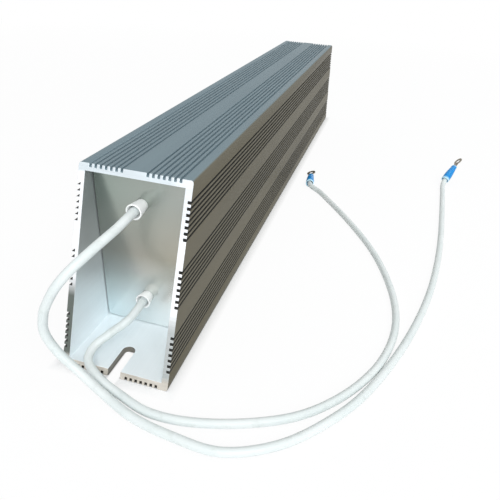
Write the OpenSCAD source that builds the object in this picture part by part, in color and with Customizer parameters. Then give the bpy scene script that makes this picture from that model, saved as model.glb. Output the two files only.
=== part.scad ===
// Aluminium housed power resistor with slant-cut ends and two free leads.
// Millimetres, Z up. The origin is the middle of the housing's base, the leads leave towards -Y.

/* [Housing] */
// Length of the housing along its base
housing_length = 535; // [460:5:800]
// Width of the housing
housing_width = 60; // [60:1:80]
// Height of the housing
housing_height = 100; // [90:1:130]
// Thickness of the extruded walls
wall = 3.7; // [3:0.1:5]
// Radius of the outer long edges
corner_radius = 1.5; // [0.5:0.1:2.5]
// How far the slant cut sets the top edge of each end back from the bottom edge
end_setback = 37; // [0:1:50]

/* [Grooves] */
// Grooves in each band
grooves_per_band = 7; // [3:1:7]
// Spacing of the grooves in a band
groove_pitch = 2.8; // [2:0.1:3]
// Width of each groove
groove_width = 1.35; // [0.8:0.05:1.6]
// Depth of each groove
groove_depth = 1.8; // [0.8:0.1:2.2]
// Middle of a top or bottom band from the housing's middle plane
top_band_offset = 15.2; // [13:0.1:16]
// Middle of the outer side bands from mid height
side_band_offset = 31.8; // [25:0.1:34]

/* [Mounting slots] */
// Width of the open slot in the base at each end
slot_width = 7; // [4:0.1:9]
// Length of each slot from the end of the base to its round end
slot_length = 20; // [10:1:32]

/* [End plates] */
// How far each plate's face lies behind the top edge of its end
plate_inset = 4.5; // [2:0.5:12]
// Thickness of each end plate
plate_thickness = 3; // [2:0.5:6]
// Gap between an end plate and the housing walls
plate_gap = 0.3; // [0.1:0.05:0.6]

/* [Bushings] */
// Wall of a lead bushing
bushing_wall = 0.8; // [0.5:0.1:1.2]
// How much wider a bushing is at its open mouth than in the plate
bushing_flare = 2; // [0:0.1:3]
// Gap round a lead in the narrow part of its bushing
bore_gap = 0.15; // [0.05:0.05:0.3]
// How far a bushing's collar stands out all round behind the plate
collar_rim = 1.8; // [1:0.1:2.4]
// Thickness of the collar behind the plate
collar_thickness = 2; // [1:0.5:4]
// Gap round a bushing in its plate
bushing_gap = 0.1; // [0.05:0.05:0.3]
// How far the upper bushing stands out of the plate
upper_bushing_reach = 9; // [5:0.5:16]
// How far the lower bushing stands out of the plate
lower_bushing_reach = 6; // [4:0.5:16]

/* [Leads] */
// Outside diameter of the leads
lead_diameter = 4.6; // [3:0.1:5]
// Sideways place of both leads at the plate
lead_x = 0; // [-4:0.5:4]
// How far the upper lead at the plate lies below the housing's top
upper_lead_drop = 20; // [16:0.5:24]
// Height of the lower lead at the plate
lower_lead_z = 23.5; // [20:0.5:30]

/* [Terminals] */
// Length of the insulating sleeve
sleeve_length = 20; // [16:0.5:24]
// Outside diameter of the sleeve's flared mouth
mouth_diameter = 7.6; // [7:0.1:7.8]
// Outside diameter of the sleeve's crimped end
crimp_diameter = 6; // [5.6:0.1:6.8]
// Wall of the insulating sleeve
sleeve_wall = 0.7; // [0.4:0.05:0.9]
// Diameter of the ring
ring_diameter = 8.4; // [7.5:0.1:10]
// Hole in the ring, for an M4 screw
ring_hole = 4.3; // [3.2:0.1:5.3]
// Thickness of the ring and its tongue
ring_thickness = 0.8; // [0.5:0.1:1.2]
// Distance from the sleeve's end to the middle of the ring
ring_reach = 8; // [6.5:0.5:12]

/* [Resistance elements] */
// Diameter of a ceramic core
core_diameter = 26; // [20:0.5:28]
// Bore of a ceramic core
core_bore = 12; // [6:0.5:16]
// Shortening of the cores against the space between the plates, at each end
core_setback = 28; // [26:1:50]
// Distance of the lower core's axis from the base, and of the upper core's from the top
core_inset = 28; // [25:0.5:30]
// Spacing of the turns of the winding
turn_pitch = 8; // [6:0.5:16]
// Thickness of the wire and its coat on the core
winding_thickness = 2; // [1.6:0.1:2.4]
// Width of the contact band at each end of a core
band_width = 10; // [6:0.5:14]
// Thickness of the contact bands and straps
band_thickness = 1; // [0.6:0.1:1.4]
// Diameter of the barrel that joins a lead to its strap
splice_diameter = 7; // [6.2:0.1:7.6]
// Length of that barrel
splice_length = 14; // [10:1:18]
// Width of the straps
strap_width = 6; // [3:0.5:8]

/* [Hidden] */
$fn = 48;

fit_gap = 0.3;    // round the inner pieces in their cast-in spaces
wire_gap = 0.2;   // round a lead where it passes through a bore
over = 1;         // how far a cutting shape runs past the face it cuts

inner_width = housing_width - 2 * wall;
inner_height = housing_height - 2 * wall;
end_y = housing_length / 2;
plate_face_y = end_y - end_setback - plate_inset;
plate_back_y = plate_face_y - plate_thickness;
upper_lead_z = housing_height - upper_lead_drop;
collar_y = plate_back_y - collar_thickness;
bushing_bore = lead_diameter + 2 * bore_gap;
bushing_diameter = bushing_bore + 2 * bushing_wall;
bushing_collar = bushing_diameter + 2 * collar_rim;
core_end_y = plate_back_y - core_setback;
upper_mouth_y = -plate_face_y - upper_bushing_reach;
lower_mouth_y = -plate_face_y - lower_bushing_reach;

lower_core_z = core_inset;
upper_core_z = housing_height - core_inset;
band_radius = core_diameter / 2 + wire_gap + band_thickness;
winding_radius = core_diameter / 2 + winding_thickness;
band_front_y = core_end_y - 2;
band_back_y = band_front_y - band_width;
strap_y = -core_end_y - fit_gap - band_thickness;
splice_back_y = strap_y - fit_gap;
splice_front_y = splice_back_y - splice_length;
splice_depth = 0.6 * splice_length;

// A terminal is [middle of the sleeve's mouth, heading from +Y towards -X, tilt upwards,
// turn about its own length]. Like the leads' points it says how the loose end lies.
upper_terminal = [[180, 76.5, 6], -26, 30, -38];
lower_terminal = [[51.5, 16.2, 3.9], 7, 0, -20];
mouth_depth = 6.5;   // how deep the lead goes into the sleeve

function terminal_axis(t) = [-sin(t[1]) * cos(t[2]), cos(t[1]) * cos(t[2]), sin(t[2])];
function lead_end(t) = t[0] + mouth_depth * terminal_axis(t);

// The leads' routes, from the bushing's mouth over the front edge and along the table.
upper_route = [
    [lead_x, upper_mouth_y, upper_lead_z], [-0.4, -241.5, 79.3], [-1.2, -248, 78],
    [-2.9, -257, 76.3], [-5.6, -266.5, 73.6], [-10.2, -274.8, 68.6], [-15.4, -279, 61.6],
    [-20.5, -279.8, 53], [-25, -279.5, 43.5], [-27.4, -278.5, 31], [-23, -277, 18.5],
    [-11, -278, 9.2], [4, -282.5, 4.1], [22, -289, 2.5], [43, -292.8, 2.4], [67, -293.5, 2.4],
    [90, -282.5, 2.4], [109, -263.5, 2.4], [126, -238, 2.4], [142.5, -199, 2.4],
    [155.5, -155, 2.4], [164.5, -109, 2.4], [171, -52, 2.4], [175.2, 12, 2.4], [177.3, 50, 2.5],
    [177.7, 61, 2.9], [178.3, 69.5, 3.7], [179.9, 76.3, 5.9], lead_end(upper_terminal)];
lower_route = [
    [lead_x, lower_mouth_y, lower_lead_z], [-0.5, -238.5, 21.9], [-3.2, -245.5, 18.7],
    [-9.6, -251.6, 13.9], [-15.2, -259.5, 9.4], [-13.6, -267.6, 6.8], [-4, -274, 4.6],
    [9, -278.5, 2.8], [28, -284, 2.4], [50, -282.5, 2.4], [76, -274, 2.4],
    [99.3, -260.3, 2.4], [119.3, -237.5, 2.4], [133.4, -208.9, 2.4], [139.3, -175, 2.4],
    [135, -137.5, 2.4], [120, -91.5, 2.4], [95, -44.5, 2.4], [65, 1.5, 2.4],
    [59, 7.7, 2.7], [54.3, 11.8, 3.2], [51.5, 16.4, 3.9], lead_end(lower_terminal)];

lead_sides = 10;
long_step = 18;   // a stretch longer than this gets a ring in its middle

aluminium = [0.80, 0.82, 0.84];
anodised = [0.45, 0.48, 0.50];
white_sleeve = [0.93, 0.95, 0.94];
white_lead = [0.90, 0.93, 0.91];
sleeve_blue = [0.10, 0.42, 0.86];
tinned = [0.55, 0.50, 0.45];
ceramic = [0.90, 0.87, 0.80];
coated_wire = [0.42, 0.44, 0.42];
brass = [0.80, 0.68, 0.38];
cast_sand = [0.74, 0.70, 0.62];

// ---- Housing

module rounded_outline(w, h, r) {
    square([w - 2 * r, h], center = true);
    square([w, h - 2 * r], center = true);
    for (x = [-1, 1])
        for (y = [-1, 1])
            translate([x * (w / 2 - r), y * (h / 2 - r)])
                circle(r);
}

// A band of grooves cut down into an edge that lies along X at y = 0
module groove_band() {
    for (i = [0 : grooves_per_band - 1])
        translate([(i - (grooves_per_band - 1) / 2) * groove_pitch, 0])
            translate([-groove_width / 2, -groove_depth])
                square([groove_width, groove_depth + over]);
}

module extrusion_section() {
    difference() {
        rounded_outline(housing_width, housing_height, corner_radius);
        square([inner_width, inner_height], center = true);
        for (turn = [0, 180])
            rotate(turn)
                for (x = [-top_band_offset, top_band_offset])
                    translate([x, housing_height / 2])
                        groove_band();
        for (turn = [90, 270])
            rotate(turn)
                for (x = [-side_band_offset, 0, side_band_offset])
                    translate([x, housing_width / 2])
                        groove_band();
    }
}

// Extrudes an outline, drawn in X and Z, from y0 to y1
module along_y(y0, y1) {
    translate([0, y1, 0])
        rotate([90, 0, 0])
            linear_extrude(y1 - y0)
                children();
}

// The housing seen from the side: a trapezoid with both ends cut on a slant
module slant_cut_block() {
    rotate([90, 0, 90])
        translate([0, 0, -housing_width])
            linear_extrude(2 * housing_width)
                polygon([
                    [-end_y, 0], [end_y, 0],
                    [end_y - end_setback, housing_height],
                    [-end_y + end_setback, housing_height]]);
}

module mounting_slot() {
    slot_end = end_y - slot_length + slot_width / 2;
    translate([0, slot_end, -over])
        cylinder(d = slot_width, h = wall + 2 * over);
    translate([-slot_width / 2, slot_end, -over])
        cube([slot_width, end_y - slot_end + over, wall + 2 * over]);
}

module housing() {
    color(anodised)
        difference() {
            intersection() {
                along_y(-end_y, end_y)
                    translate([0, housing_height / 2])
                        extrusion_section();
                slant_cut_block();
            }
            mounting_slot();
            rotate(180) mounting_slot();
        }
}

// ---- End plates and bushings

module end_plate() {
    along_y(plate_back_y, plate_face_y)
        translate([0, housing_height / 2])
            square([inner_width - 2 * plate_gap, inner_height - 2 * plate_gap], center = true);
}

module end_plate_front() {
    color(aluminium)
        difference() {
            rotate(180) end_plate();
            for (z = [upper_lead_z, lower_lead_z])
                translate([lead_x, 0, z])
                    rotate([90, 0, 0])
                        cylinder(d = bushing_diameter + 2 * bushing_gap, h = end_y);
        }
}

module end_plate_rear() {
    color(aluminium) end_plate();
}

// A collared sleeve through the front plate, which widens to its open mouth
module bushing(z, reach) {
    bore = bushing_bore / 2;
    plate_end = collar_thickness + plate_thickness;
    mouth_end = plate_end + reach;
    mouth = (bushing_diameter + bushing_flare) / 2;
    color(white_sleeve)
        translate([lead_x, -collar_y, z])
            rotate([90, 0, 0])
                rotate_extrude()
                    polygon([
                        [bore, 0], [bushing_collar / 2, 0],
                        [bushing_collar / 2, collar_thickness],
                        [bore + bushing_wall, collar_thickness], [bore + bushing_wall, plate_end],
                        [mouth, mouth_end], [mouth - bushing_wall, mouth_end],
                        [bore, plate_end]]);
}

module bushing_upper() bushing(upper_lead_z, upper_bushing_reach);
module bushing_lower() bushing(lower_lead_z, lower_bushing_reach);

// ---- Leads

// Point at share t of stretch i of a smooth curve through p
function curve_point(p, i, t) =
    let (
        last = len(p) - 1,
        a = i > 0 ? p[i - 1] : 2 * p[0] - p[1],
        b = p[i],
        c = p[i + 1],
        d = i + 2 <= last ? p[i + 2] : 2 * p[last] - p[last - 1])
    (2 * b + t * (c - a) + t * t * (2 * a - 5 * b + 4 * c - d)
        + t * t * t * (3 * b - a - 3 * c + d)) / 2;

function steps_in(p, i) = norm(p[i + 1] - p[i]) > long_step ? 2 : 1;

function curve(p) = concat(
    [for (i = [0 : len(p) - 2])
        for (k = [0 : steps_in(p, i) - 1])
            curve_point(p, i, k / steps_in(p, i))],
    [p[len(p) - 1]]);

function unit(v) = v / norm(v);

// Direction of a line at its point i, with the two end directions given
function direction(c, i, first, last) =
    i == 0 ? first : i == len(c) - 1 ? last : unit(c[i + 1] - c[i - 1]);

// A ring's sideways axis, carried from ring to ring so that the tube doesn't twist
function side_axis(c, i, first, last) =
    let (
        before = i == 0 ? [1, 0, 0] : side_axis(c, i - 1, first, last),
        dir = direction(c, i, first, last))
    unit(before - (before * dir) * dir);

function ring_points(centre, dir, side) =
    let (up = cross(dir, side))
    [for (k = [0 : lead_sides - 1])
        centre + lead_diameter / 2
            * (cos(360 * k / lead_sides) * side + sin(360 * k / lead_sides) * up)];

module tube(route, first, last) {
    c = curve(route);
    n = lead_sides;
    rings = [for (i = [0 : len(c) - 1])
        ring_points(c[i], direction(c, i, first, last), side_axis(c, i, first, last))];
    polyhedron(
        points = [for (r = rings) for (p = r) p],
        faces = concat(
            [[for (k = [0 : n - 1]) k]],
            [for (i = [0 : len(c) - 2])
                for (k = [0 : n - 1])
                    [i * n + k, (i + 1) * n + k, (i + 1) * n + (k + 1) % n, i * n + (k + 1) % n]],
            [[for (k = [n - 1 : -1 : 0]) (len(c) - 1) * n + k]]));
}

module lead_upper() {
    color(white_lead) tube(upper_route, [0, -1, 0], terminal_axis(upper_terminal));
}

module lead_lower() {
    color(white_lead) tube(lower_route, [0, -1, 0], terminal_axis(lower_terminal));
}

// The straight stretch of a lead from its splice to the bushing's mouth
module lead_tail(z, mouth_y) {
    color(white_lead)
        translate([lead_x, splice_front_y + splice_depth, z])
            rotate([90, 0, 0])
                cylinder(d = lead_diameter, h = splice_front_y + splice_depth - mouth_y);
}

module lead_tail_upper() lead_tail(upper_lead_z, upper_mouth_y);
module lead_tail_lower() lead_tail(lower_lead_z, lower_mouth_y);

// ---- Crimp terminals, built along +Y from the middle of the mouth

module lay_terminal(t) {
    translate(t[0])
        rotate([0, 0, t[1]])
            rotate([t[2], 0, 0])
                rotate([0, t[3], 0])
                    children();
}

module terminal_sleeve(t) {
    mouth = mouth_diameter / 2;
    neck = crimp_diameter / 2;
    color(sleeve_blue)
        lay_terminal(t)
            rotate([-90, 0, 0])
                rotate_extrude()
                    polygon([
                        [mouth - sleeve_wall, 0], [mouth, 0],
                        [mouth, mouth_depth], [neck, sleeve_length],
                        [neck - sleeve_wall, sleeve_length],
                        [mouth - sleeve_wall, mouth_depth]]);
}

// The barrel inside the sleeve, the tongue and the ring
module terminal_ring(t) {
    barrel = crimp_diameter - 2 * sleeve_wall - 0.1;
    ring_y = sleeve_length + ring_reach;
    color(tinned)
        lay_terminal(t)
            difference() {
                union() {
                    translate([0, mouth_depth, 0])
                        rotate([-90, 0, 0])
                            cylinder(d = barrel, h = sleeve_length - mouth_depth);
                    translate([-barrel / 2, sleeve_length - over, -ring_thickness / 2])
                        cube([barrel, ring_reach + over, ring_thickness]);
                    translate([0, ring_y, -ring_thickness / 2])
                        cylinder(d = ring_diameter, h = ring_thickness);
                }
                translate([0, ring_y, -ring_thickness])
                    cylinder(d = ring_hole, h = 2 * ring_thickness);
            }
}

module terminal_sleeve_upper() terminal_sleeve(upper_terminal);
module terminal_sleeve_lower() terminal_sleeve(lower_terminal);
module terminal_ring_upper() terminal_ring(upper_terminal);
module terminal_ring_lower() terminal_ring(lower_terminal);

// ---- Resistance elements: two wound cores, joined in series at the rear

// A cylinder along Y from y0 to y1 at height z
module rod(z, d, y0, y1, x = 0) {
    translate([x, y1, z])
        rotate([90, 0, 0])
            cylinder(d = d, h = y1 - y0);
}

module core(z) {
    color(ceramic)
        difference() {
            rod(z, core_diameter, -core_end_y, core_end_y);
            rod(z, core_bore, -core_end_y - over, core_end_y + over);
        }
}

module core_upper() core(upper_core_z);
module core_lower() core(lower_core_z);

// Coat and turns as one ridged sleeve between the two bands of a core
module winding(z) {
    inner = core_diameter / 2;
    coat = inner + winding_thickness / 2;
    span = 2 * band_back_y;
    turns = floor(span / turn_pitch);
    turn = turn_pitch / 2;
    start = (span - turns * turn_pitch) / 2;
    ridge = [[coat, 0.25], [winding_radius, 0.5], [winding_radius, 1.5], [coat, 1.75]];
    color(coated_wire)
        translate([0, band_back_y, z])
            rotate([90, 0, 0])
                rotate_extrude()
                    polygon(concat(
                        [[inner, span], [inner, 0], [coat, 0]],
                        [for (i = [0 : turns - 1])
                            for (p = ridge)
                                [p[0], start + i * turn_pitch + p[1] * turn]],
                        [[coat, span]]));
}

module winding_upper() winding(upper_core_z);
module winding_lower() winding(lower_core_z);

// A metal band round a core, from y0 to y1
module contact_ring(z, y0, y1) {
    difference() {
        rod(z, 2 * band_radius, y0, y1);
        rod(z, 2 * (band_radius - band_thickness), y0 - over, y1 + over);
    }
}

// The front band and the strap that runs from it to the lead's splice
module contact_band(core_z, lead_z) {
    ring_top = core_z + band_radius;
    splice_top = lead_z + splice_diameter / 2;
    low = min(ring_top - band_thickness, splice_top);
    high = max(ring_top, splice_top + band_thickness);
    color(brass) {
        contact_ring(core_z, -band_front_y, -band_back_y);
        translate([lead_x - strap_width / 2, strap_y, ring_top - band_thickness])
            cube([strap_width, -band_back_y - strap_y, band_thickness]);
        translate([lead_x - strap_width / 2, strap_y, low])
            cube([strap_width, band_thickness, high - low]);
        translate([lead_x - strap_width / 2, splice_front_y, splice_top])
            cube([strap_width, strap_y + band_thickness - splice_front_y, band_thickness]);
    }
}

module contact_band_upper() contact_band(upper_core_z, upper_lead_z);
module contact_band_lower() contact_band(lower_core_z, lower_lead_z);

module rear_band(z) {
    color(brass) contact_ring(z, band_back_y, band_front_y);
}

module rear_band_upper() rear_band(upper_core_z);
module rear_band_lower() rear_band(lower_core_z);

// A bar that stands on the lower rear band and carries the current to the upper one
module series_link() {
    foot = lower_core_z + band_radius;
    head = upper_core_z - band_radius;
    color(brass)
        translate([-band_thickness, band_back_y, foot])
            cube([2 * band_thickness, band_width, head - foot]);
}

// A barrel that the lead's end is crimped into
module splice(z) {
    color(tinned)
        difference() {
            rod(z, splice_diameter, splice_front_y, splice_back_y, lead_x);
            rod(z, lead_diameter, splice_front_y - over, splice_front_y + splice_depth, lead_x);
        }
}

module splice_upper() splice(upper_lead_z);
module splice_lower() splice(lower_lead_z);

// ---- Filling: the cast block that fills the housing between the plates

module element_space(core_z, lead_z) {
    ring_top = core_z + band_radius;
    splice_low = lead_z - splice_diameter / 2;
    top = max(ring_top, lead_z + splice_diameter / 2 + band_thickness) + fit_gap;
    space_width = splice_diameter + 2 * fit_gap;
    rod(core_z, 2 * (winding_radius + fit_gap), -core_end_y - fit_gap, core_end_y + fit_gap);
    translate([lead_x - space_width / 2, splice_front_y - fit_gap, splice_low - fit_gap])
        cube([space_width, -band_back_y - splice_front_y + fit_gap, top - splice_low + fit_gap]);
    rod(lead_z, lead_diameter + 2 * wire_gap, -plate_back_y - over, splice_front_y, lead_x);
    rod(lead_z, bushing_collar + 2 * fit_gap, -plate_back_y - over, -collar_y, lead_x);
}

module filling() {
    color(cast_sand)
        difference() {
            along_y(-plate_back_y, plate_back_y)
                translate([0, housing_height / 2])
                    square([inner_width, inner_height], center = true);
            element_space(upper_core_z, upper_lead_z);
            element_space(lower_core_z, lower_lead_z);
            translate([-band_thickness - fit_gap, band_back_y - fit_gap, lower_core_z])
                cube([2 * (band_thickness + fit_gap), band_width + 2 * fit_gap,
                      upper_core_z - lower_core_z]);
        }
}

housing();
end_plate_front();
end_plate_rear();
filling();
bushing_upper();
bushing_lower();
lead_upper();
lead_lower();
lead_tail_upper();
lead_tail_lower();
splice_upper();
splice_lower();
terminal_sleeve_upper();
terminal_sleeve_lower();
terminal_ring_upper();
terminal_ring_lower();
core_upper();
core_lower();
winding_upper();
winding_lower();
contact_band_upper();
contact_band_lower();
rear_band_upper();
rear_band_lower();
series_link();
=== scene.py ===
import math

import bmesh
import bpy
from mathutils import Matrix, Vector


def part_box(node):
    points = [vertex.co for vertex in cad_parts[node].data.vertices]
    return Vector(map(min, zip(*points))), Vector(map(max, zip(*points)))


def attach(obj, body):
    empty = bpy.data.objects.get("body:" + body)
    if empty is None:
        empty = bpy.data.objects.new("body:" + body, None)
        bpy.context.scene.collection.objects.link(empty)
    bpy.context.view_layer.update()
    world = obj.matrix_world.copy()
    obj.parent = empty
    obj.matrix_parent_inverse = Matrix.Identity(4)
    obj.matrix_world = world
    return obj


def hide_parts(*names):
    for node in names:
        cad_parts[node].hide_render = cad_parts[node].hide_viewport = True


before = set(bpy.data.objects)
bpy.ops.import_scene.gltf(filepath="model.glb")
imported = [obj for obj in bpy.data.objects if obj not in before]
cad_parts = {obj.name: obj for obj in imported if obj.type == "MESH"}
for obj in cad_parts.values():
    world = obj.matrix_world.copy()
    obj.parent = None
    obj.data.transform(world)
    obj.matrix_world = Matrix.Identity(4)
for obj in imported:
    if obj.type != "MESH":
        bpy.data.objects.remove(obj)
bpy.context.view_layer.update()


# Camera: stands in front of the open end and looks down along the housing
camera = {
    "place": (0.10825, -0.42594, 0.19062),
    "aim": (0.01353, -0.05228, -0.04158),
    "roll": 3.785,       # degrees, turned about the line of sight
    "lens": 35.217,
    "sensor": 36.0,
    "nearest": 0.01,
}


def makeCamera(spec):
    data = bpy.data.cameras.new("camera")
    data.lens = spec["lens"]
    data.sensor_width = spec["sensor"]
    data.clip_start = spec["nearest"]
    obj = bpy.data.objects.new("camera", data)
    bpy.context.scene.collection.objects.link(obj)
    place = Vector(spec["place"])
    look = (Vector(spec["aim"]) - place).to_track_quat("-Z", "Y").to_matrix().to_4x4()
    roll = Matrix.Rotation(math.radians(spec["roll"]), 4, "Z")
    obj.matrix_world = Matrix.Translation(place) @ look @ roll
    bpy.context.scene.camera = obj


makeCamera(camera)
print("camera placed")


# Helpers for materials

def newMaterial(name):
    material = bpy.data.materials.new(name)
    material.use_nodes = True
    return material, material.node_tree, material.node_tree.nodes["Principled BSDF"]


def addNode(tree, kind, values=None, **settings):
    node = tree.nodes.new(kind)
    for key, value in settings.items():
        setattr(node, key, value)
    for socket, value in (values or {}).items():
        node.inputs[socket].default_value = value
    return node


def objectPoints(tree, scale=(1, 1, 1), turn=(0, 0, 0), shift=(0, 0, 0)):
    coords = addNode(tree, "ShaderNodeTexCoord")
    mapping = addNode(tree, "ShaderNodeMapping")
    mapping.inputs["Scale"].default_value = scale
    mapping.inputs["Rotation"].default_value = turn
    mapping.inputs["Location"].default_value = shift
    tree.links.new(coords.outputs["Object"], mapping.inputs["Vector"])
    return mapping.outputs["Vector"]


def noiseAt(tree, points, scale=1.0, detail=3.0, roughness=0.5):
    noise = addNode(tree, "ShaderNodeTexNoise",
                    {"Scale": scale, "Detail": detail, "Roughness": roughness})
    tree.links.new(points, noise.inputs["Vector"])
    return noise.outputs["Fac"]


def spread(tree, value, low, high, toLow=0.0, toHigh=1.0):
    node = addNode(tree, "ShaderNodeMapRange", {1: low, 2: high, 3: toLow, 4: toHigh})
    tree.links.new(value, node.inputs[0])
    return node.outputs[0]


def combine(tree, operation, first, second):
    node = addNode(tree, "ShaderNodeMath", operation=operation)
    for i, value in enumerate((first, second)):
        if isinstance(value, (int, float)):
            node.inputs[i].default_value = value
        else:
            tree.links.new(value, node.inputs[i])
    return node.outputs[0]


def sizeOf(tree, value):
    return combine(tree, "ABSOLUTE", value, 0)


def share(tree, first, second, part):
    # part of the first and the rest of the second
    return combine(tree, "ADD", combine(tree, "MULTIPLY", first, part),
                   combine(tree, "MULTIPLY", second, 1 - part))


def blendColours(tree, factor, first, second, kind="MIX"):
    node = addNode(tree, "ShaderNodeMix", data_type="RGBA", blend_type=kind)
    if isinstance(factor, (int, float)):
        node.inputs[0].default_value = factor
    else:
        tree.links.new(factor, node.inputs[0])
    for socket, value in ((6, first), (7, second)):
        if isinstance(value, tuple):
            node.inputs[socket].default_value = (*value, 1)
        else:
            tree.links.new(value, node.inputs[socket])
    return node.outputs[2]


def axisOf(tree, vector, axis):
    split = addNode(tree, "ShaderNodeSeparateXYZ")
    tree.links.new(vector, split.inputs[0])
    return split.outputs[axis]


def mottled(tree, factor, colour, dark, pale):
    # the colour, made darker and paler by the factor
    grey = blendColours(tree, factor, (dark,) * 3, (pale,) * 3)
    return blendColours(tree, 1.0, colour, grey, "MULTIPLY")


def setColour(tree, shader, colour):
    tree.links.new(colour, shader.inputs["Base Color"])


def setRoughness(tree, shader, cloud, limits):
    tree.links.new(spread(tree, cloud, 0.3, 0.7, *limits), shader.inputs["Roughness"])


def setSoft(shader, weight, radius):
    shader.inputs["Subsurface Weight"].default_value = weight
    shader.inputs["Subsurface Radius"].default_value = radius
    shader.inputs["Subsurface Scale"].default_value = 1.0


def addBump(tree, shader, height, strength, distance):
    bump = addNode(tree, "ShaderNodeBump", {"Strength": strength, "Distance": distance})
    tree.links.new(height, bump.inputs["Height"])
    tree.links.new(bump.outputs["Normal"], shader.inputs["Normal"])


# Helpers for pieces

def newPiece(name, bm, materials, nodes=(), smooth=35.0):
    mesh = bpy.data.meshes.new(name)
    bm.to_mesh(mesh)
    bm.free()
    piece = bpy.data.objects.new(name, mesh)
    bpy.context.scene.collection.objects.link(piece)
    for material in materials:
        mesh.materials.append(material)
    mesh.shade_smooth()
    mesh.set_sharp_from_angle(angle=math.radians(smooth))
    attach(piece, "root")
    if nodes:
        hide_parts(*nodes)
    return piece


def mergedCopy(node, flat=0.6):
    # A solid's mesh is loose triangles, so they are joined and its flat faces made whole
    bm = bmesh.new()
    bm.from_mesh(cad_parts[node].data)
    bmesh.ops.remove_doubles(bm, verts=bm.verts, dist=1e-6)
    bmesh.ops.dissolve_limit(bm, angle_limit=math.radians(flat), use_dissolve_boundaries=False,
                             verts=bm.verts, edges=bm.edges)
    for face in bm.faces:
        face.material_index = 0      # the node's own material doesn't count
    return bm


def bevelEdges(piece, width, segments=2, angle=30.0):
    bevel = piece.modifiers.new("edges", "BEVEL")
    bevel.width = width
    bevel.segments = segments
    bevel.profile = 0.5
    bevel.limit_method = "ANGLE"
    bevel.angle_limit = math.radians(angle)
    bevel.use_clamp_overlap = True
    bevel.harden_normals = False


def dress(node, material):
    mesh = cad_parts[node].data
    mesh.materials.clear()
    mesh.materials.append(material)


# Leads: two soft white leads from the bushings over the front edge and along the table
# The routes are in millimetres and end where the terminals begin
leads = {
    "diameter": 0.0046,
    "upper": [
        (0, -235, 80), (-0.4, -241.5, 79.3), (-1.2, -248, 78), (-2.9, -257, 76.3),
        (-5.6, -266.5, 73.6), (-10.2, -274.8, 68.6), (-15.4, -279, 61.6), (-20.5, -279.8, 53),
        (-25, -279.5, 43.5), (-27.4, -278.5, 31), (-23, -277, 18.5), (-11, -278, 9.2),
        (4, -282.5, 4.1), (22, -289, 2.5), (43, -292.8, 2.4), (67, -293.5, 2.4),
        (90, -282.5, 2.4), (109, -263.5, 2.4), (126, -238, 2.4), (142.5, -199, 2.4),
        (155.5, -155, 2.4), (164.5, -109, 2.4), (171, -52, 2.4), (175.2, 12, 2.4), (177.3, 50, 2.5),
        (177.7, 61, 2.9), (178.3, 69.5, 3.7), (179.9, 76.3, 5.9)],
    "lower": [
        (0, -232, 23.5), (-0.5, -238.5, 21.9), (-3.2, -245.5, 18.7), (-9.6, -251.6, 13.9),
        (-15.2, -259.5, 9.4), (-13.6, -267.6, 6.8), (-4, -274, 4.6), (9, -278.5, 2.8),
        (28, -284, 2.4), (50, -282.5, 2.4), (76, -274, 2.4), (99.3, -260.3, 2.4),
        (119.3, -237.5, 2.4), (133.4, -208.9, 2.4), (139.3, -175, 2.4), (135, -137.5, 2.4),
        (120, -91.5, 2.4), (95, -44.5, 2.4), (65, 1.5, 2.4), (59, 7.7, 2.7), (54.3, 11.8, 3.2),
        (51.5, 16.4, 3.9)],
    "step": 0.0016,      # between the points that the tube follows
    "hold": 1.3,         # how far a bend may reach along a short stretch, so that it doesn't fold
    "waver": 0.004,      # share of the radius by which the tube swells and thins
    "waves": (0.31, 0.083),      # how fast it does so, and how fast that changes
    "rounding": 6,
    "tones": ((0.69, 0.75, 0.745), (0.745, 0.79, 0.785)),
    "grime": (0.57, 0.62, 0.60),
    "roughness": (0.34, 0.46),
    "soft": (0.12, (0.0012, 0.0012, 0.0011)),
    "bend": 1.42,        # how much the silicone bends light
}

# A terminal: middle of the sleeve's mouth in millimetres, heading from +Y towards -X,
# tilt upwards, and roll about its own length
terminals = {
    "upper": {"mouth": (180, 76.5, 6), "heading": -26, "tilt": 30, "roll": -38},
    "lower": {"mouth": (51.5, 16.2, 3.9), "heading": 7, "tilt": 0, "roll": -20},
    "depth": 0.0065,     # how deep the lead goes into the sleeve
}


def terminalPlace(name):
    spec = terminals[name]
    return (Matrix.Translation(Vector(spec["mouth"]) / 1000)
            @ Matrix.Rotation(math.radians(spec["heading"]), 4, "Z")
            @ Matrix.Rotation(math.radians(spec["tilt"]), 4, "X")
            @ Matrix.Rotation(math.radians(spec["roll"]), 4, "Y"))


def smoothRoute(points, step):
    known = [2 * points[0] - points[1], *points, 2 * points[-1] - points[-2]]
    path = []
    for a, b, c, d in zip(known, known[1:], known[2:], known[3:]):
        reach = (c - b).length
        leave, arrive = (c - a) / 2, (d - b) / 2
        leave *= min(1, leads["hold"] * reach / leave.length)
        arrive *= min(1, leads["hold"] * reach / arrive.length)
        count = max(2, round(reach / step))
        for k in range(count):
            t = k / count
            path.append((2 * t ** 3 - 3 * t * t + 1) * b + (t ** 3 - 2 * t * t + t) * leave
                        + (3 * t * t - 2 * t ** 3) * c + (t ** 3 - t * t) * arrive)
    path.append(points[-1])
    return path


def leadMaterial():
    material, tree, shader = newMaterial("silicone lead")
    cloud = spread(tree, noiseAt(tree, objectPoints(tree), 38, 3), 0.35, 0.65)
    spots = noiseAt(tree, objectPoints(tree, shift=(3, 1, 2)), 210, 4)
    colour = blendColours(tree, cloud, *leads["tones"])
    colour = blendColours(tree, spread(tree, spots, 0.56, 0.74, 0, 0.5), colour, leads["grime"])
    setColour(tree, shader, colour)
    tree.links.new(spread(tree, cloud, 0, 1, *leads["roughness"]), shader.inputs["Roughness"])
    setSoft(shader, *leads["soft"])
    shader.inputs["IOR"].default_value = leads["bend"]
    grain = noiseAt(tree, objectPoints(tree), 1900, 2)
    addBump(tree, shader, grain, 0.12, 0.0002)
    return material


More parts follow.
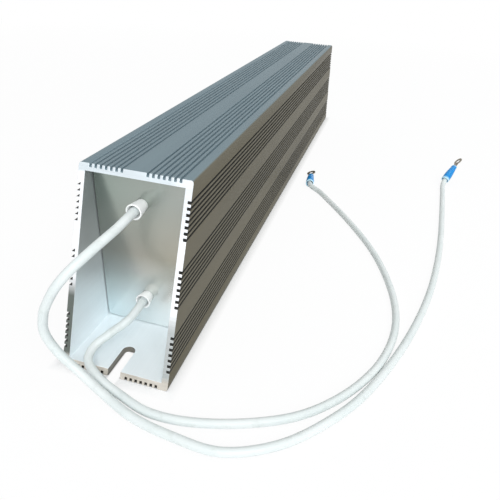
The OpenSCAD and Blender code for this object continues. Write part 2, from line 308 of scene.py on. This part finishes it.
def makeLead(name, material):
    points = [Vector(p) / 1000 for p in leads[name]]
    place = terminalPlace(name)
    points.append(place @ Vector((0, terminals["depth"], 0)))
    path = smoothRoute(points, leads["step"])
    data = bpy.data.curves.new("lead_" + name + "_tube", "CURVE")
    data.dimensions = "3D"
    data.twist_mode = "MINIMUM"
    data.bevel_depth = leads["diameter"] / 2
    data.bevel_resolution = leads["rounding"]
    data.use_fill_caps = True
    spline = data.splines.new("POLY")
    spline.points.add(len(path) - 1)
    fast, slow = leads["waves"]
    for i, point in enumerate(path):
        wave = math.sin(i * fast + math.sin(i * slow))
        spline.points[i].co = (*point, 1)
        spline.points[i].radius = 1 - leads["waver"] * (0.5 + 0.5 * wave)
    spline.use_smooth = True
    obj = bpy.data.objects.new("lead_" + name + "_tube", data)
    bpy.context.scene.collection.objects.link(obj)
    data.materials.append(material)
    length = sum((b - a).length for a, b in zip(path, path[1:]))
    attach(obj, "root")
    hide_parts("lead_" + name)
    return obj, points[0], length


leadWhite = leadMaterial()
leadTubes = {name: makeLead(name, leadWhite) for name in ("upper", "lower")}
for tail in ("lead_tail_upper", "lead_tail_lower"):
    dress(tail, leadWhite)
print("leads laid")


# Terminals: blue sleeves over crimped barrels, with rings for a screw
sleeve = {
    "length": 0.0200, "mouth": 0.0038, "neck": 0.0030, "wall": 0.0007,
    "straight": 0.0065, "lip": 0.00022, "steps": 28,
    "crimpFrom": 0.0095, "crimpThin": 0.82,
    "dents": (0.0128, 0.0168), "dentDepth": 0.10, "dentWidth": 0.0013,
    "blues": ((0.001, 0.225, 0.60), (0.005, 0.285, 0.70)),
    "pale": (0.58, 0.86, 0.98), "paleShare": 0.9,      # where the sleeve's ends are thin
    "paleMouth": (0.15, 0.03), "paleNeck": (0.90, 1.0, 0, 0.7),
    "roughness": (0.24, 0.38), "shine": 0.35,
    "soft": (0.12, (0.0004, 0.0008, 0.0012)),
}
ring = {
    "bevel": 0.00012,
    "barrelPast": 1e-4,      # how far past the sleeve the crimped barrel reaches
    "tones": ((0.15, 0.13, 0.10), (0.36, 0.33, 0.27)),
    "roughness": (0.28, 0.52), "metal": 0.9,
}


def sleeveMaterial():
    material, tree, shader = newMaterial("blue insulating sleeve")
    cloud = noiseAt(tree, objectPoints(tree), 420, 3)
    along = addNode(tree, "ShaderNodeAttribute", attribute_name="along").outputs["Fac"]
    colour = blendColours(tree, spread(tree, cloud, 0.35, 0.7), *sleeve["blues"])
    thin = combine(tree, "MAXIMUM", spread(tree, along, *sleeve["paleMouth"]),
                   spread(tree, along, *sleeve["paleNeck"]))
    colour = blendColours(tree, combine(tree, "MULTIPLY", thin, sleeve["paleShare"]), colour,
                          sleeve["pale"])
    setColour(tree, shader, colour)
    setRoughness(tree, shader, cloud, sleeve["roughness"])
    shader.inputs["Specular IOR Level"].default_value = sleeve["shine"]
    setSoft(shader, *sleeve["soft"])
    addBump(tree, shader, noiseAt(tree, objectPoints(tree), 1500, 2), 0.1, 0.0002)
    return material


def ringMaterial():
    material, tree, shader = newMaterial("tinned copper, handled")
    cloud = noiseAt(tree, objectPoints(tree), 520, 4, 0.6)
    setColour(tree, shader, blendColours(tree, spread(tree, cloud, 0.38, 0.62), *ring["tones"]))
    setRoughness(tree, shader, cloud, ring["roughness"])
    shader.inputs["Metallic"].default_value = ring["metal"]
    addBump(tree, shader, cloud, 0.15, 0.0002)
    return material


def spinProfile(profile, steps=48):
    # profile is (radius, place along +Y), closed back to its first point
    bm = bmesh.new()
    verts = [bm.verts.new((radius, along, 0)) for radius, along in profile]
    edges = [bm.edges.new((a, b)) for a, b in zip(verts, verts[1:] + verts[:1])]
    bmesh.ops.spin(bm, geom=verts + edges, cent=(0, 0, 0), axis=(0, 1, 0), dvec=(0, 0, 0),
                   angle=math.tau, steps=steps, use_merge=True, use_duplicate=False)
    bmesh.ops.remove_doubles(bm, verts=bm.verts, dist=1e-7)
    bmesh.ops.recalc_face_normals(bm, faces=bm.faces)
    return bm


def flatten(along):
    # How far the crimp has flattened the sleeve at this place: 0 none, 1 all
    crimp = (along - sleeve["crimpFrom"]) / (sleeve["length"] - sleeve["crimpFrom"])
    crimp = min(1, max(0, crimp))
    return crimp * crimp * (3 - 2 * crimp)


def makeSleeve(name, material):
    s = sleeve
    lip, end, taper = s["lip"], s["length"], s["length"] - s["straight"]
    outer = [(s["mouth"] - lip, 0), (s["mouth"], lip), (s["mouth"], s["straight"])]
    outer += [(s["mouth"] + (s["neck"] - s["mouth"]) * i / s["steps"],
               s["straight"] + (taper - lip) * i / s["steps"]) for i in range(1, s["steps"] + 1)]
    outer += [(s["neck"] - lip, end)]
    inner = [(s["neck"] - s["wall"] + lip / 2, end), (s["neck"] - s["wall"], end - lip / 2),
             (s["mouth"] - s["wall"], s["straight"]), (s["mouth"] - s["wall"], lip),
             (s["mouth"] - s["wall"] + lip / 2, 0)]
    bm = spinProfile(outer + inner)
    alongLayer = bm.verts.layers.float.new("along")
    for vert in bm.verts:
        vert[alongLayer] = vert.co.y / end
        crimp = flatten(vert.co.y)
        press = sum(math.exp(-((vert.co.y - at) / s["dentWidth"]) ** 2) for at in s["dents"])
        vert.co.z *= 1 - (1 - s["crimpThin"]) * crimp - s["dentDepth"] * press * crimp
    bmesh.ops.transform(bm, matrix=terminalPlace(name), verts=bm.verts)
    return newPiece("insulating_sleeve_" + name, bm, [material],
                    ["terminal_sleeve_" + name], smooth=50)


def makeRing(name, material):
    bm = mergedCopy("terminal_ring_" + name)
    bmesh.ops.transform(bm, matrix=terminalPlace(name).inverted(), verts=bm.verts)
    for vert in bm.verts:
        if vert.co.y < sleeve["length"] + ring["barrelPast"]:      # crimped with the sleeve
            vert.co.z *= 1 - (1 - sleeve["crimpThin"]) * flatten(vert.co.y)
    bmesh.ops.transform(bm, matrix=terminalPlace(name), verts=bm.verts)
    piece = newPiece("ring_tongue_" + name, bm, [material],
                     ["terminal_ring_" + name])
    bevelEdges(piece, ring["bevel"])
    return piece


sleeveBlue = sleeveMaterial()
tinnedRing = ringMaterial()
for name in ("upper", "lower"):
    sleevePiece = makeSleeve(name, sleeveBlue)
    ringPiece = makeRing(name, tinnedRing)
print("terminals made")


# Housing: grooved extrusion with both ends cut on a slant
housing = {
    "bevel": 0.00016,
    "grooveFrom": 0.0006,     # what lies deeper than this under the outer face is in a groove
    "slotReach": 0.0037,      # nearer than this to the middle of the foot is a slot's wall
    "around": 1e-4,           # room around the filling within which a face is an inner one
    "slant": 0.02,            # how much a face of the slanted cut looks along the housing
    # The outer faces carry painted light: a blue painted sky reflection on the top, and darker brown
    # painted shade on the sides
    "topPaintedSkyTone": (0.140, 0.195, 0.222), "topPaintedSkyPale": (0.190, 0.254, 0.282),
    "sidePaintedShadeTone": (0.096, 0.088, 0.060), "sidePaintedShadePale": (0.140, 0.127, 0.088),
    # Groove walls: paler painted light on the top, dark painted shade in the side grooves and the
    # foot's notches
    "grooveTopPaintedLight": (0.25, 0.33, 0.37), "grooveSidePaintedShade": (0.060, 0.060, 0.055),
    # slotWallPaintedShade is dark painted shade on the slot's walls
    "grooveFootPaintedShade": (0.045, 0.038, 0.026), "slotWallPaintedShade": (0.17, 0.165, 0.14),
    # The sawn faces are bare aluminium in cutPale; the other cut tones are painted shade on them:
    # dark low on the left, grey low on the right, beige at the foot, greyer where the top wall is
    # cut and at the upper right corner
    "cutPale": (0.90, 0.92, 0.94), "cutTopPaintedShade": (0.66, 0.73, 0.77), "cutCornerPaintedShade": (0.78, 0.82, 0.86),
    "cutFootPaintedShade": ((0.57, 0.53, 0.46), (0.68, 0.64, 0.58)),
    "cutLeftPaintedShade": (0.13, 0.15, 0.135), "cutRightPaintedShade": (0.47, 0.50, 0.50),
    # Inside the recess: floor is painted light, and wallHigh is painted shade high up the inner
    # walls
    "floor": (0.90, 0.96, 0.99), "wallHigh": (0.36, 0.385, 0.39),
    "outside": {"roughness": (0.42, 0.56), "metal": 0.15, "shine": 0.12},
    "groove": {"roughness": (0.5, 0.62), "metal": 0.25, "shine": 0.25},
    "cut": {"roughness": (0.3, 0.5), "metal": 0.35},
    "inside": {"roughness": (0.36, 0.42), "metal": (0.3, 0.5)},
    # Heights and places in metres at which one tone ends and the next is reached
    "topFrom": (0.0965, 0.0972), "footUpTo": (0.0036, 0.0042), "cutTopFrom": (0.0955, 0.0965),
    "cutSides": (-0.01, 0.01), "cutPaleFrom": (0.030, 0.039), "cutFootUpTo": (0.004, 0.007),
    "cornerAcross": (0.018, 0.024), "cornerUp": (0.066, 0.084),
    "slotAcross": (0.0036, 0.00355), "slotUpTo": (0.006, 0.005), "wallUp": (0.006, 0.078),
}


def setFinish(tree, shader, factor, finish):
    setRoughness(tree, shader, factor, finish["roughness"])
    shader.inputs["Metallic"].default_value = finish["metal"]
    if "shine" in finish:
        shader.inputs["Specular IOR Level"].default_value = finish["shine"]


def anodisedMaterial():
    h = housing
    material, tree, shader = newMaterial("anodised extrusion with painted reflection and shade")
    geometry = addNode(tree, "ShaderNodeNewGeometry")
    sidewaysPaintedShade = sizeOf(tree, axisOf(tree, geometry.outputs["True Normal"], 0))
    fine = noiseAt(tree, objectPoints(tree, (1500, 5, 1500)), 1, 2)
    broad = noiseAt(tree, objectPoints(tree, (160, 1.3, 160)), 1, 3)
    cloud = noiseAt(tree, objectPoints(tree, (14, 5, 14)), 1, 4)
    streak = share(tree, fine, broad, 0.45)
    mix = spread(tree, share(tree, streak, cloud, 0.6), 0.36, 0.64)
    topPaintedSky = blendColours(tree, mix, h["topPaintedSkyTone"], h["topPaintedSkyPale"])
    sidePaintedShade = blendColours(tree, mix, h["sidePaintedShadeTone"], h["sidePaintedShadePale"])
    # Painted light: faces turned sideways get the darker painted shade, the rest get the painted sky
    # reflection
    setColour(tree, shader, blendColours(tree, spread(tree, sidewaysPaintedShade, 0.3, 0.9), topPaintedSky, sidePaintedShade))
    setFinish(tree, shader, streak, h["outside"])
    addBump(tree, shader, fine, 0.12, 0.0001)
    return material


def grooveMaterial():
    # Painted light and shade in the grooves: on the top, light runs back and forth between a
    # groove's walls, so they are painted paler than their alloy; the side grooves and the foot's
    # notches get dark painted shade
    h = housing
    material, tree, shader = newMaterial("anodised groove walls with painted light and shade")
    height = axisOf(tree, objectPoints(tree), 2)
    streak = noiseAt(tree, objectPoints(tree, (1500, 5, 1500)), 1, 2)
    colour = blendColours(tree, spread(tree, height, *h["topFrom"]), h["grooveSidePaintedShade"], h["grooveTopPaintedLight"])
    colour = blendColours(tree, spread(tree, height, *h["footUpTo"]), h["grooveFootPaintedShade"], colour)
    setColour(tree, shader, colour)
    setFinish(tree, shader, streak, h["groove"])
    return material


def cutMaterial():
    h = housing
    material, tree, shader = newMaterial("sawn aluminium with painted shade")
    saw = noiseAt(tree, objectPoints(tree, (60, 60, 1800), (0, 0.35, 0)), 1, 3)
    cloud = noiseAt(tree, objectPoints(tree, shift=(1, 4, 2)), 120, 3)
    place = objectPoints(tree)
    across, height = axisOf(tree, place, 0), axisOf(tree, place, 2)
    # Painted shade on the sawn faces by place: darker low down, darkest on the left, beige at the
    # foot, greyer at the top and the upper right corner
    pale = blendColours(tree, spread(tree, height, *h["cutTopFrom"]), h["cutPale"], h["cutTopPaintedShade"])
    low = blendColours(tree, spread(tree, across, *h["cutSides"]), h["cutLeftPaintedShade"], h["cutRightPaintedShade"])
    edge = combine(tree, "ADD", height, spread(tree, across, *h["cutSides"], -0.006, 0.0))
    colour = blendColours(tree, spread(tree, edge, *h["cutPaleFrom"]), low, pale)
    foot = blendColours(tree, spread(tree, cloud, 0.35, 0.65), *h["cutFootPaintedShade"])
    colour = blendColours(tree, spread(tree, height, *h["cutFootUpTo"]), foot, colour)
    corner = combine(tree, "MULTIPLY", spread(tree, across, *h["cornerAcross"]),
                     spread(tree, height, *h["cornerUp"]))
    colour = blendColours(tree, corner, colour, h["cutCornerPaintedShade"])
    # Painted shade: the slot's walls are painted dark
    slotPaintedShade = combine(tree, "MULTIPLY", spread(tree, sizeOf(tree, across), *h["slotAcross"]),
                      spread(tree, height, *h["slotUpTo"]))
    colour = blendColours(tree, slotPaintedShade, colour, h["slotWallPaintedShade"])
    setColour(tree, shader, mottled(tree, spread(tree, saw, 0.3, 0.7), colour, 0.93, 1.04))
    setFinish(tree, shader, saw, h["cut"])
    addBump(tree, shader, saw, 0.25, 0.0001)
    return material


def insideMaterial():
    h = housing
    material, tree, shader = newMaterial("mill finish inside with painted light and shade")
    streak = noiseAt(tree, objectPoints(tree, (700, 6, 700)), 1, 2)
    cloud = noiseAt(tree, objectPoints(tree, shift=(2, 2, 5)), 42, 3)
    mix = spread(tree, share(tree, streak, cloud, 0.3), 0.3, 0.7)
    # Painted light and shade: bright low in the recess, darker up the inner walls
    paintedShadeUp = spread(tree, axisOf(tree, objectPoints(tree), 2), *h["wallUp"])
    colour = blendColours(tree, paintedShadeUp, h["floor"], h["wallHigh"])
    setColour(tree, shader, mottled(tree, mix, colour, 0.95, 1.04))
    setRoughness(tree, shader, cloud, h["inside"]["roughness"])
    tree.links.new(spread(tree, paintedShadeUp, 0.0, 0.3, *h["inside"]["metal"]), shader.inputs["Metallic"])
    return material


def makeHousing():
    bm = mergedCopy("housing")
    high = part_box("housing")[1]
    room = housing["around"]
    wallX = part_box("filling")[1].x + room
    wallLow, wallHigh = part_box("filling")[0].z - room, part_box("filling")[1].z + room
    outside, cut, inside, groove = range(4)
    for face in bm.faces:
        normal, middle = face.normal, face.calc_center_median()
        depth = min(high.x - abs(middle.x), middle.z, high.z - middle.z)
        if abs(normal.y) > housing["slant"]:
            face.material_index = cut
        elif abs(middle.x) < wallX and wallLow < middle.z < wallHigh:
            face.material_index = inside
        elif depth > housing["grooveFrom"]:
            face.material_index = groove
        inFoot = middle.z < wallLow + 2 * room and abs(middle.x) < housing["slotReach"]
        if inFoot and abs(normal.z) < 0.5:
            face.material_index = cut
    piece = newPiece("grooved_housing", bm,
                     [anodisedMaterial(), cutMaterial(), insideMaterial(), grooveMaterial()],
                     ["housing"], smooth=25)
    bevelEdges(piece, housing["bevel"])


makeHousing()
print("housing made")


# End plates: sheet aluminium with a cloudy, lightly brushed face, and painted light and shade
plates = {
    "bevel": 0.00025,
    # Painted light and shade on the plates: dark painted shade high up, a warm painted reflection in
    # the middle, bright painted light low down, each paler to the right
    "paintedShadeHigh": (0.30, 0.355, 0.32), "paintedShadeHighRight": (0.40, 0.425, 0.395),
    "paintedWarmReflection": (0.34, 0.35, 0.32), "paintedWarmReflectionRight": (0.46, 0.43, 0.35),
    "paintedLightLow": (0.64, 0.73, 0.74), "paintedLightLowRight": (0.94, 0.96, 0.95),
    "upFrom": (0.012, 0.088), "rightFrom": (-0.022, 0.024),
    "roughness": (0.19, 0.23), "metal": 0.85,
}


def plateMaterial():
    material, tree, shader = newMaterial("sheet aluminium with painted light and shade")
    cloud = noiseAt(tree, objectPoints(tree, (26, 1, 16), shift=(0.3, 0, 0.6)), 1, 3)
    place = objectPoints(tree)
    paintedShadeUp = spread(tree, axisOf(tree, place, 2), *plates["upFrom"])
    right = spread(tree, axisOf(tree, place, 0), *plates["rightFrom"])
    paintedShadeHigh, paintedWarmReflection, paintedLightLow = [blendColours(tree, right, plates[tone], plates[tone + "Right"])
                          for tone in ("paintedShadeHigh", "paintedWarmReflection", "paintedLightLow")]
    # Painted shade higher up, painted light low down and to the right
    colour = blendColours(tree, spread(tree, paintedShadeUp, 0.0, 0.5), paintedLightLow, paintedWarmReflection)
    colour = blendColours(tree, spread(tree, paintedShadeUp, 0.5, 0.95), colour, paintedShadeHigh)
    setColour(tree, shader, mottled(tree, spread(tree, cloud, 0.3, 0.7), colour, 0.90, 1.07))
    setRoughness(tree, shader, cloud, plates["roughness"])
    shader.inputs["Metallic"].default_value = plates["metal"]
    return material


plateSheet = plateMaterial()
for name in ("end_plate_front", "end_plate_rear"):
    platePiece = newPiece(name + "_sheet", mergedCopy(name), [plateSheet],
                          [name])
    bevelEdges(platePiece, plates["bevel"])
print("end plates made")


# Bushings: white silicone sleeves, collared behind the plate, with soft open mouths
bushing = {
    "bore": 0.00245, "wall": 0.0008, "flare": 0.0010, "collar": 0.00505, "collarLength": 0.0020,
    "lip": 0.00038, "plate": 0.003, "face": -0.226,
    "upper": {"height": 0.0800, "reach": 0.009}, "lower": {"height": 0.0235, "reach": 0.006},
    "tones": ((0.94, 0.96, 0.95), (0.96, 0.97, 0.965)),
    "roughness": (0.38, 0.5), "soft": (0.15, (0.001, 0.001, 0.001)),
}


def bushingMaterial():
    material, tree, shader = newMaterial("white silicone bushing")
    cloud = noiseAt(tree, objectPoints(tree), 160, 3)
    setColour(tree, shader, blendColours(tree, spread(tree, cloud, 0.35, 0.65), *bushing["tones"]))
    setRoughness(tree, shader, cloud, bushing["roughness"])
    setSoft(shader, *bushing["soft"])
    addBump(tree, shader, noiseAt(tree, objectPoints(tree), 1700, 2), 0.12, 0.0002)
    return material


def makeBushing(name, material):
    b = bushing
    through = b["collarLength"] + b["plate"]
    end = through + b[name]["reach"]
    lip, neck = b["lip"], b["bore"] + b["wall"]
    mouth = neck + b["flare"]
    hollow = mouth - b["wall"]
    arc = [math.radians(a) for a in (0, 22.5, 45, 67.5, 90)]
    profile = [(b["collar"], 0), (b["collar"], b["collarLength"]), (neck, b["collarLength"]),
               (neck, through)]
    profile += [(mouth - lip + lip * math.cos(a), end - lip + lip * math.sin(a)) for a in arc]
    profile += [(hollow + lip - lip * math.sin(a), end - lip + lip * math.cos(a)) for a in arc]
    profile += [(b["bore"], through), (b["bore"], 0)]
    bm = spinProfile(profile)
    place = (Matrix.Translation((0, b["face"] + through, b[name]["height"]))
             @ Matrix.Rotation(math.pi, 4, "Z"))
    bmesh.ops.transform(bm, matrix=place, verts=bm.verts)
    newPiece("silicone_bushing_" + name, bm, [material],
             ["bushing_" + name], smooth=40)


bushingWhite = bushingMaterial()
for name in ("upper", "lower"):
    makeBushing(name, bushingWhite)
print("bushings made")


# Inner pieces: wound ceramic cores in cast sand, with brass bands and splices
# Each material: its two tones, metal, roughness, size and depth of its grain, and what wears it
inner = {
    "core ceramic": {
        "tones": ((0.70, 0.62, 0.48), (0.82, 0.75, 0.62)),
        "metal": 0.0, "roughness": 0.6, "grain": 260, "bump": 0.2,
        "nodes": ("core_upper", "core_lower")},
    "coated wire": {
        "tones": ((0.13, 0.15, 0.13), (0.22, 0.24, 0.22)),
        "metal": 0.2, "roughness": 0.5, "grain": 300, "bump": 0.3,
        "nodes": ("winding_upper", "winding_lower")},
    "contact brass": {
        "tones": ((0.55, 0.38, 0.14), (0.72, 0.54, 0.24)),
        "metal": 1.0, "roughness": 0.35, "grain": 220, "bump": 0.1,
        "nodes": ("contact_band_upper", "contact_band_lower", "rear_band_upper",
                  "rear_band_lower", "series_link")},
    "tinned splice": {
        "tones": ((0.48, 0.47, 0.44), (0.66, 0.65, 0.62)),
        "metal": 1.0, "roughness": 0.4, "grain": 340, "bump": 0.15,
        "nodes": ("splice_upper", "splice_lower")},
    "cast sand": {
        "tones": ((0.38, 0.33, 0.25), (0.60, 0.54, 0.44)),
        "metal": 0.0, "roughness": 0.9, "grain": 900, "bump": 0.6,
        "nodes": ("filling",)},
}


def innerMaterial(name, look):
    material, tree, shader = newMaterial(name)
    cloud = noiseAt(tree, objectPoints(tree), look["grain"], 4)
    setColour(tree, shader, blendColours(tree, spread(tree, cloud, 0.35, 0.65), *look["tones"]))
    setRoughness(tree, shader, cloud, (look["roughness"] - 0.08, look["roughness"] + 0.08))
    shader.inputs["Metallic"].default_value = look["metal"]
    addBump(tree, shader, cloud, look["bump"], 0.0003)
    return material


for name, look in inner.items():
    innerLook = innerMaterial(name, look)
    for node in look["nodes"]:
        dress(node, innerLook)
print("inner pieces dressed")


# Table, world and lamps
studio = {
    "tableSize": 14.0, "table": (0.90, 0.905, 0.91), "paleFrom": 0.35, "paleTo": 1.2,
    "glow": 0.92, "ambient": 0.52,
    "paintedShadowUnder": (0.10, 0.095, 0.08),      # painted shadow on the table beneath the foot
    "paintedShadowEdge": (-0.0009, -0.0002),   # where that painted shadow ends, inside the foot's edge
    "contact": (0.0003, 0.006),        # where the table's glow starts and is at its strength
    "slot": (0.0035, 0.2475),          # half a slot's width and where it starts, from above
    "slotEdge": 0.001,
    "around": (0.98, 0.99, 1.0, 1),
    # Each lamp: its name, place, aim, size, energy and colour
    "lamps": [
        ("key", (0.62, -1.75, 1.32), (0.0, -0.15, 0.03), 1.7, 34.0, (0.98, 0.99, 1.0)),
        ("fill", (0.50, 0.30, 1.15), (0.10, 0.05, 0.0), 1.0, 4.0, (1.0, 0.985, 0.96)),
    ],
}


def seenDirectly(tree):
    path = addNode(tree, "ShaderNodeLightPath")
    seen = combine(tree, "MAXIMUM", path.outputs["Is Camera Ray"], path.outputs["Is Glossy Ray"])
    return combine(tree, "MAXIMUM", seen, path.outputs["Is Transmission Ray"])


def makeTable():
    material, tree, shader = newMaterial("pale table with painted shadow beneath the foot")
    output = tree.nodes["Material Output"]
    grain = noiseAt(tree, objectPoints(tree), 60, 3)
    tone = blendColours(tree, spread(tree, grain, 0.3, 0.7), studio["table"],
                        tuple(c + 0.02 for c in studio["table"]))
    shader.inputs["Roughness"].default_value = 0.9
    shader.inputs["Specular IOR Level"].default_value = 0.1
    glow = addNode(tree, "ShaderNodeEmission", {"Color": (1, 1, 1, 1), "Strength": 1.0})
    length = addNode(tree, "ShaderNodeVectorMath", operation="LENGTH")
    tree.links.new(objectPoints(tree), length.inputs[0])
    far = spread(tree, length.outputs["Value"], studio["paleFrom"], studio["paleTo"],
                 studio["glow"], 1.0)
    # How far a place lies beyond the foot, and how deep it lies in a slot
    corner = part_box("housing")[1]
    across, along = [sizeOf(tree, axisOf(tree, objectPoints(tree), axis)) for axis in (0, 1)]
    beyond = combine(tree, "MAXIMUM", combine(tree, "SUBTRACT", across, corner.x),
                     combine(tree, "SUBTRACT", along, corner.y))
    halfWidth, start = studio["slot"]
    inSlot = combine(tree, "MINIMUM", combine(tree, "SUBTRACT", halfWidth, across),
                     combine(tree, "SUBTRACT", along, start))
    opened = spread(tree, inSlot, 0.0, studio["slotEdge"])
    clear = combine(tree, "MAXIMUM", spread(tree, beyond, *studio["contact"]), opened)
    # Painted shadow: the table is painted dark beneath the foot, except in the slot
    clearOfPaintedShadow = combine(tree, "MAXIMUM", spread(tree, beyond, *studio["paintedShadowEdge"]), opened)
    tree.links.new(blendColours(tree, clearOfPaintedShadow, studio["paintedShadowUnder"], tone), shader.inputs["Base Color"])
    pale = combine(tree, "MULTIPLY", far, clear)
    mix = addNode(tree, "ShaderNodeMixShader")
    tree.links.new(combine(tree, "MULTIPLY", pale, seenDirectly(tree)), mix.inputs[0])
    tree.links.new(shader.outputs[0], mix.inputs[1])
    tree.links.new(glow.outputs[0], mix.inputs[2])
    tree.links.new(mix.outputs[0], output.inputs["Surface"])
    bm = bmesh.new()
    bmesh.ops.create_grid(bm, x_segments=1, y_segments=1, size=studio["tableSize"] / 2)
    mesh = bpy.data.meshes.new("table_top")
    bm.to_mesh(mesh)
    bm.free()
    mesh.materials.append(material)
    table = bpy.data.objects.new("table_top", mesh)
    bpy.context.scene.collection.objects.link(table)


def makeWorld():
    world = bpy.data.worlds.new("studio")
    world.use_nodes = True
    tree = world.node_tree
    tree.nodes.clear()
    around = addNode(tree, "ShaderNodeBackground",
                     {"Color": studio["around"], "Strength": studio["ambient"]})
    white = addNode(tree, "ShaderNodeBackground", {"Color": (1, 1, 1, 1), "Strength": 1.0})
    mix = addNode(tree, "ShaderNodeMixShader")
    output = addNode(tree, "ShaderNodeOutputWorld")
    tree.links.new(seenDirectly(tree), mix.inputs[0])
    tree.links.new(around.outputs[0], mix.inputs[1])
    tree.links.new(white.outputs[0], mix.inputs[2])
    tree.links.new(mix.outputs[0], output.inputs["Surface"])
    bpy.context.scene.world = world


def makeLamp(name, place, aim, size, energy, colour):
    data = bpy.data.lights.new(name, "AREA")
    data.size = size
    data.energy = energy
    data.color = colour
    obj = bpy.data.objects.new(name, data)
    bpy.context.scene.collection.objects.link(obj)
    turn = (Vector(aim) - Vector(place)).to_track_quat("-Z", "Y").to_matrix().to_4x4()
    obj.matrix_world = Matrix.Translation(place) @ turn


makeTable()
makeWorld()
for lamp in studio["lamps"]:
    makeLamp(*lamp)
bpy.context.scene.view_settings.view_transform = "Standard"
print("studio set")
